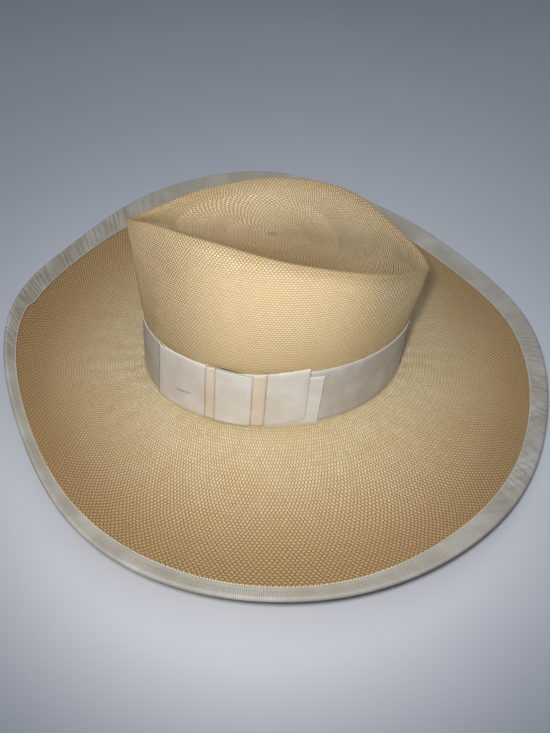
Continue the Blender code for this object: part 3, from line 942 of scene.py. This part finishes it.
band_body = Rings()
for k, (height, out) in enumerate(band_section):
    up_share = (height - BAND_BOTTOM) / (BAND_TOP - BAND_BOTTOM)
    slack = BAND_SLACK * np.sin(np.pi * up_share) * (1 + np.sin(5 * angle) + 0.5 * np.sin(13 * angle))
    pulled = height - up_share * BAND_DIP * window(angle, *DIPPED)
    place = height if k < FIRST_BEHIND else BAND_TOP + (BAND_TOP - height) + 1
    band_body.ring(oval(angle, pulled, out + slack), share, place, BAND_RIBS, band_seen)
band_body.close(PLACE_BEHIND, BAND_RIBS, band_seen)
band_look = ribbed(BAND_WHITE, BAND_OLD, True)
band = band_body.mesh("band", surface("band_ribbon", band_look, RIBBON_ROUGHNESS))
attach(band, "root")
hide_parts("hat_band")

# The band's two edges: tiny loops of its thread, woven with the ribbon and close enough to look like
# beads.
PICOTS = 480
PICOT = 0.42
edge_angle = shares(PICOTS * LOOP_POINTS)[:-1] * TURN
picots = Rings()
for height, dip in ((BAND_TOP + 0.05, BAND_DIP), (BAND_BOTTOM - 0.02, 0)):
    pulled = height - dip * window(edge_angle, *DIPPED)
    beaded_loop(picots, oval(edge_angle, pulled, between), facing(edge_angle), PICOTS, PICOT)
picot_thread = thread_finish("picot_thread", linear(248, 244, 232))
band_picots = picots.mesh("band_picots", picot_thread)
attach(band_picots, "root")

# The bow: ribbon folded flat on the band at the wearer's side. A tail lies lowest, then a loop to each
# side, then a wide aged strip and a narrower knot, both wrapped over the band from top to bottom.
RIBBON = 0.34
LAYER_FIRST, LAYER_STEP = 1.2, 0.44
UNEVEN = 0.14
FOLD_PUFF, FOLD_SPREAD = 0.7, 4.5
OUT_STEPS, FOLD_STEPS, BACK_STEPS, LOOP_ROWS = 44, 9, 16, 22
CROWN_RADIUS = 95
KNOT_MIDDLE = 71
FRONT_SLANT = 0.036
PRESS_ANGLE, PRESS_HEIGHT, PRESS_SLOPE = 51.5, 23.5, 0.3
PRESS_THIN, PRESS_LONG, PRESS_DEEP = 0.8, 3.2, 0.35
TAIL_SLANT, TAIL_LIFT, TAIL_LIFTED = 0.012, 1.2, (99, 105.5)
TUCK_IN, TUCK_UP = 1.3, 0.4
TUCK_STEPS, WRAP_ROWS, WRAP_COLUMNS = 6, 40, 20
TAIL = np.array([(74, 3.6, 49), (90, 3.4, 49.4), (105.5, 3.0, 50)])
LOOP_FRONT = np.array([
    (34.5, 3.6, 55.4), (36.5, 3.6, 54.2), (47.6, 3.4, 55.2), (60, 4.2, 53.4), (71, 4.4, 53),
])
LOOP_BACK = np.array([
    (71, 4.6, 53.4), (84, 5.2, 55), (92, 7, 56.6), (97, 8.6, 57.6), (99, 10.5, 58), (100, 13.5, 58),
])
WRAP = np.array([(59.4, 4.8, 54), (63, 4.8, 55.2), (78.4, 4.8, 52.6), (84, 4.8, 55.6)])
KNOT = np.array([(63.7, 4.4, 55.4), (71, 4.4, 54.2), (78.8, 4.4, 52.8)])
BOW_WHITE = linear(242, 244, 246)
BOW_OLD = linear(230, 225, 218)
TAN, TAN_OLD = linear(243, 233, 217), linear(233, 220, 202)
WRAP_SELVEDGE, KNOT_SELVEDGE = 0.032, 0.055


def layer(level):
    """How far a layer of the bow lies off the straw, at its middle."""
    return LAYER_FIRST + LAYER_STEP * level


def edges(table, degrees):
    """The lower and upper edge of a ribbon at an angle, from a table of angle, bottom and top."""
    return [np.interp(degrees, table[:, 0], table[:, k]) for k in (1, 2)]


def ribbon(name, middle, finish):
    """A strip of ribbon, from its middle surface: rows of points along it, from one edge to the other."""
    along, across = np.gradient(middle, axis=0), np.gradient(middle, axis=1)
    out = unit(np.cross(along, across))
    off, aside = out * RIBBON / 2, unit(across) * RIBBON / 2
    ends = middle[:, -1:] + aside[:, -1:], middle[:, :1] - aside[:, :1]
    loop = np.concatenate([middle + off, ends[0], (middle - off)[:, ::-1], ends[1]], axis=1)
    columns = middle.shape[1]
    width = np.linspace(0, 1, columns)
    width = np.concatenate([width, [1], width[::-1], [0, 0]])
    run = measured(middle).mean(axis=1)
    body = Rings()
    for points, place in zip(loop, run):
        body.ring(points, width, place)
        if place == 0:
            body.cap(body.last, True)
    body.cap(body.last, False)
    piece = body.mesh(name, finish)
    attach(piece, "root")
    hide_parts("bow_" + name.removeprefix("ribbon_"))
    border = [
        np.concatenate([grid[:, 0], grid[-1, 1:], grid[-2::-1, -1], grid[0, -2:0:-1]])
        for grid in (middle, out)
    ]
    woven =np.repeat([1.0, 0.1, 1.0, 0.1], [len(middle), columns - 1, len(middle) - 1, columns - 2])
    borders[name] = np.concatenate([*border, woven[:, None]], axis=1)
    return piece


borders = {}


def loop_middle(table, start, fold, end, outer, inner):
    """The middle surface of a loop: out along an upper layer, round its fold, and back along a lower one.

    The upper layer lifts towards the fold, by a bell curve of the angle to it."""
    out_way, back_way = np.linspace(start, fold, OUT_STEPS), np.linspace(fold, end, BACK_STEPS)
    upper = layer(outer) + FOLD_PUFF * np.exp(-(((out_way - fold) / FOLD_SPREAD) ** 2))
    radius = (upper[-1] - layer(inner)) / 2
    bend = np.linspace(np.pi / 2, -np.pi / 2, FOLD_STEPS)[1:-1]
    round_fold = fold + np.sign(fold - start) * np.degrees(radius * np.cos(bend) / CROWN_RADIUS)
    degrees = np.concatenate([out_way, round_fold, back_way])
    turning, lower = layer(inner) + radius * (1 + np.sin(bend)), np.full(BACK_STEPS, layer(inner))
    low, high = edges(table, degrees)
    z = low[:, None] + (high - low)[:, None] * np.linspace(0, 1, LOOP_ROWS)
    return degrees, z, np.concatenate([upper, turning, lower])


def on_crown(degrees, z, out):
    """Points of the bow from the angle in degrees, the height and the distance off the straw.

    All its layers share one faint unevenness, a product of sines, so that none cuts through another."""
    uneven = UNEVEN * np.sin(z / 6.5 + degrees / 5) * np.sin(degrees / 3.1 - z / 15)
    return oval(np.radians(degrees), z, out + uneven)


def wrapped(table, level):
    """The middle surface of a strip wrapped over the band: tucked in below and above it."""
    degrees = np.linspace(table[0, 0], table[-1, 0], WRAP_COLUMNS)[None]
    low, high = edges(table, degrees)
    tuck = np.linspace(0, np.pi / 2, TUCK_STEPS)[:, None]
    bend, inward = TUCK_UP * (1 - np.cos(tuck)), TUCK_IN * (1 - np.sin(tuck))
    straight = np.linspace(0, 1, WRAP_ROWS + 2)[1:-1, None]
    straight = low + TUCK_UP + (high - low - 2 * TUCK_UP) * straight
    z = np.concatenate([low + TUCK_UP - bend[::-1], straight, high - TUCK_UP + bend])
    off = layer(level) - np.concatenate([inward, np.zeros((WRAP_ROWS, 1)), inward[::-1]])
    return np.broadcast_to(degrees, z.shape), z, np.broadcast_to(off, z.shape)


def bow_finish(name, roughness=RIBBON_ROUGHNESS, white=BOW_WHITE, old=BOW_OLD, **marks):
    """The bow's ribbon, with the marks of one piece of it."""
    return surface(name, ribbed(white, old, False, **marks), roughness)


bow_ribbon = bow_finish("bow_ribbon")
knot_ribbon = bow_finish("knot_ribbon", pitch=1.5, soil=KNOT_SELVEDGE)
aged_ribbon = bow_finish("aged_ribbon", AGED_ROUGHNESS, TAN, TAN_OLD, pitch=1.5, soil=WRAP_SELVEDGE)

degrees = np.linspace(TAIL[0, 0], TAIL[-1, 0], 40)
low, high = edges(TAIL, degrees)
z = low[:, None] + (high - low)[:, None] * np.linspace(0, 1, 20)
slanted = degrees[:, None] + (z - 28) * TAIL_SLANT
off = layer(0) + TAIL_LIFT * np.interp(slanted, TAIL_LIFTED, (0, 1))
tail = ribbon("ribbon_tail", on_crown(slanted, z, off), bow_ribbon)

# A short mark is pressed into the front loop: a bell curve across it, and a blunter one along it.
degrees, z, off = loop_middle(LOOP_FRONT, KNOT_MIDDLE, 34.4, 60, 1, 0)
along = degrees[:, None] - PRESS_ANGLE
across = z - PRESS_HEIGHT + along * PRESS_SLOPE
pressed = np.exp(-((across / PRESS_THIN) ** 2) - (along / PRESS_LONG) ** 4)
off = off[:, None] - PRESS_DEEP * pressed * (off[:, None] > layer(0.6))
front_middle = on_crown(degrees[:, None] + (z - BAND_TOP) * FRONT_SLANT, z, off)
turned_back = float(measured(front_middle).mean(axis=1)[OUT_STEPS])
front_ribbon = bow_finish("front_ribbon", fold=turned_back)
front = ribbon("ribbon_loop_front", front_middle, front_ribbon)

degrees, z, off = loop_middle(LOOP_BACK, KNOT_MIDDLE, 99.6, 88, 2, 1)
back_middle = on_crown(degrees[:, None], z, off[:, None])
back = ribbon("ribbon_loop_back", back_middle, bow_ribbon)

wrap_middle = on_crown(*wrapped(WRAP, 3))
wrap = ribbon("ribbon_wrap", wrap_middle, aged_ribbon)
knot = ribbon("ribbon_knot", on_crown(*wrapped(KNOT, 4)), knot_ribbon)

# The tail and the two loops have the band's beaded edge: tiny loops of thread along both selvedges,
# joined by a thin thread across the cut ends.
BOW_PICOT, BEAD_PITCH = 0.36, 1.15
bow_loops = Rings()
for name in ("ribbon_tail", "ribbon_loop_front", "ribbon_loop_back"):
    closed = np.concatenate([borders[name], borders[name][:1]])
    way = measured(closed[:, None, :3])[:, 0]
    beads = int(round(way[-1] / BEAD_PITCH))
    places = shares(beads * LOOP_POINTS)[:-1] * way[-1]
    line = stack(*(np.interp(places, way, measure) for measure in closed.T))
    beaded_loop(bow_loops, line[:, :3], line[:, 3:6], beads, BOW_PICOT * line[:, 6])
bow_picots = bow_loops.mesh("bow_picots", picot_thread)
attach(bow_picots, "root")

# The floor, the lights and the view: a plain pale floor, a soft key light just above and left of the
# camera, and an even soft fill.
FLOOR, FLOOR_PALE = linear(204, 208, 219), linear(218, 221, 228)
FLOOR_SIZE, FLOOR_DROP = 12, 0.0002
KEY_PLACE, KEY_TARGET, KEY_POWER = (0.305, -0.052, 0.36), (0.04, -0.012, 0.055), 5.7
OVER_PLACE, OVER_POWER = (-0.1, 0.0, 1.6), 10.5
ROOM, ROOM_STRENGTH = (0.72, 0.78, 0.9, 1), 0.07
CAMERA_PLACE = (0.316557, -0.02524, 0.328724)
YAW, PITCH, ROLL = -0.0608, 0.83213, 0.016085
FOCAL_PIXELS, LONG_SIDE = 551.0, 733


def floor_card(shade):
    """Plain pale card, a little uneven."""
    cloud = shade.cloud(3.0)
    return cloud.mix(FLOOR, FLOOR_PALE), cloud, 0.0005


bpy.ops.mesh.primitive_plane_add(size=FLOOR_SIZE)
floor = bpy.context.object
floor.name = "floor"
floor.location.z = -FLOOR_DROP
floor.data.materials.append(surface("floor_card", floor_card, 0.8))


def light(kind, name, place, target, power, colour, **settings):
    """A light of a kind at a place, turned towards a target."""
    lamp = bpy.data.lights.new(name, kind)
    lamp.energy = power
    lamp.color = colour
    for setting, value in settings.items():
        setattr(lamp, setting, value)
    thing = bpy.data.objects.new(name, lamp)
    bpy.context.scene.collection.objects.link(thing)
    thing.location = place
    thing.rotation_mode = "QUATERNION"
    thing.rotation_quaternion = (Vector(target) - Vector(place)).to_track_quat("-Z", "Y")


beam = {"spot_size": np.radians(87), "spot_blend": 1.0, "shadow_soft_size": 0.018}
light("SPOT", "key", KEY_PLACE, KEY_TARGET, KEY_POWER, (1.0, 0.975, 0.93), **beam)
light("AREA", "over", OVER_PLACE, (0, 0, 0), OVER_POWER, (0.84, 0.91, 1.0), size=1.8)
world = bpy.data.worlds.new("room")
world.use_nodes = True
background = world.node_tree.nodes["Background"].inputs
background["Color"].default_value = ROOM
background["Strength"].default_value = ROOM_STRENGTH
bpy.context.scene.world = world
bpy.context.scene.view_settings.view_transform = "Standard"

lens = bpy.data.cameras.new("view")
lens.sensor_width = 36
lens.lens = FOCAL_PIXELS / LONG_SIDE * lens.sensor_width
lens.clip_start = 0.01
camera = bpy.data.objects.new("view", lens)
bpy.context.scene.collection.objects.link(camera)
turns = ((np.pi / 2 + YAW, "Z"), (np.pi / 2 - PITCH, "X"), (ROLL, "Z"))
camera.matrix_world = Matrix.Translation(CAMERA_PLACE)
for angle, axis in turns:
    camera.matrix_world @= Matrix.Rotation(angle, 4, axis)
bpy.context.scene.camera = camera
